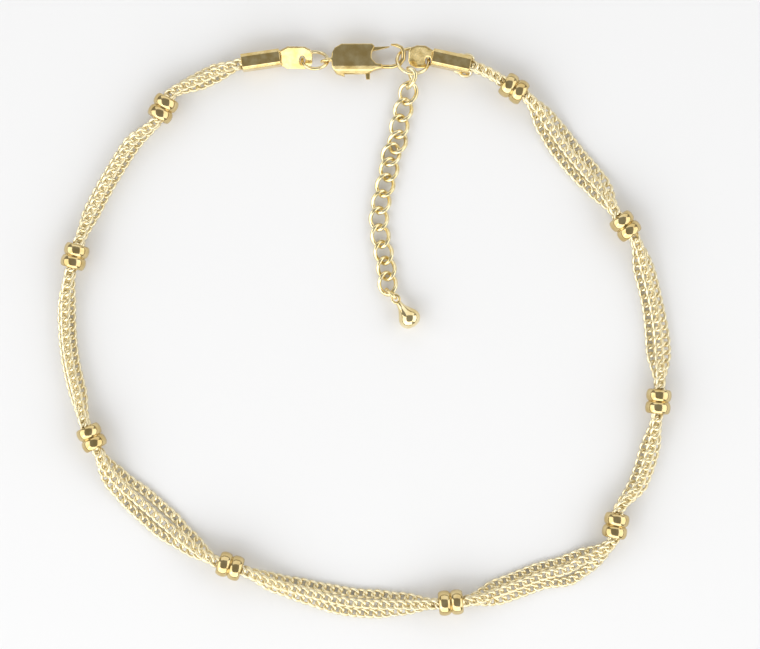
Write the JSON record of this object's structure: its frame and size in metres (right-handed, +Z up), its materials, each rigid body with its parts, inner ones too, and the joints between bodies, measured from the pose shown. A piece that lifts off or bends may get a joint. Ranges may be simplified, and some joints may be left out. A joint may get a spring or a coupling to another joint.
{
  "type": "chain anklet",
  "caption": "Three-strand fine chain anklet lying flat, held by two-hump sleeves, closed by a lobster clasp, with a curb-link extender and a teardrop.",
  "frame": {"origin": "centre of the flat-lying loop's bounding box, on the surface it rests on", "axes": "+Z up from the surface, +X to the right across the loop, +Y towards the clasp"},
  "size_m": [0.0774, 0.0726, 0.0032],
  "materials": {
    "band_1": "polished pale gold plate",
    "band_2": "polished pale gold plate",
    "band_3": "polished pale gold plate",
    "band_4": "polished pale gold plate",
    "band_5": "polished pale gold plate",
    "band_6": "polished pale gold plate",
    "band_7": "polished pale gold plate",
    "band_8": "polished pale gold plate",
    "band_9": "polished pale gold plate",
    "clasp_body": "polished pale gold plate",
    "clasp_lever": "polished pale gold plate",
    "clasp_ring": "polished pale gold plate",
    "drop": "polished pale gold plate",
    "drop_ring": "polished pale gold plate",
    "end_cap_left": "polished pale gold plate",
    "end_cap_right": "polished pale gold plate",
    "end_ring": "polished pale gold plate",
    "extender_link_01": "polished pale gold plate",
    "extender_link_02": "polished pale gold plate",
    "extender_link_03": "polished pale gold plate",
    "extender_link_04": "polished pale gold plate",
    "extender_link_05": "polished pale gold plate",
    "extender_link_06": "polished pale gold plate",
    "extender_link_07": "polished pale gold plate",
    "extender_link_08": "polished pale gold plate",
    "extender_link_09": "polished pale gold plate",
    "extender_link_10": "polished pale gold plate",
    "extender_link_11": "polished pale gold plate",
    "extender_link_12": "polished pale gold plate",
    "extender_link_13": "polished pale gold plate",
    "extender_link_14": "polished pale gold plate",
    "strand_1": "polished pale gold plate",
    "strand_2": "polished pale gold plate",
    "strand_3": "polished pale gold plate"
  },
  "bodies": {
    "anklet": {"band_1": "band_1", "band_2": "band_2", "band_3": "band_3", "band_4": "band_4", "band_5": "band_5", "band_6": "band_6", "band_7": "band_7", "band_8": "band_8", "band_9": "band_9", "clasp_body": "clasp_body", "clasp_ring": "clasp_ring", "drop": "drop", "drop_ring": "drop_ring", "end_cap_left": "end_cap_left", "end_cap_right": "end_cap_right", "end_ring": "end_ring", "extender_link_01": "extender_link_01", "extender_link_02": "extender_link_02", "extender_link_03": "extender_link_03", "extender_link_04": "extender_link_04", "extender_link_05": "extender_link_05", "extender_link_06": "extender_link_06", "extender_link_07": "extender_link_07", "extender_link_08": "extender_link_08", "extender_link_09": "extender_link_09", "extender_link_10": "extender_link_10", "extender_link_11": "extender_link_11", "extender_link_12": "extender_link_12", "extender_link_13": "extender_link_13", "extender_link_14": "extender_link_14", "strand_1": "strand_1", "strand_2": "strand_2", "strand_3": "strand_3"},
    "lever": {"clasp_lever": "clasp_lever"}
  },
  "joints": [
    {"name": "clasp_lever_hinge", "type": "hinge", "parent": "anklet", "child": "lever", "pos_m": [-0.0018, 0.0344, 0.0012], "axis": [0, 0, -1], "range_deg": [0, 20], "stiffness_Nm_per_rad": 0.0003, "springref_deg": -20.05}
  ]
}
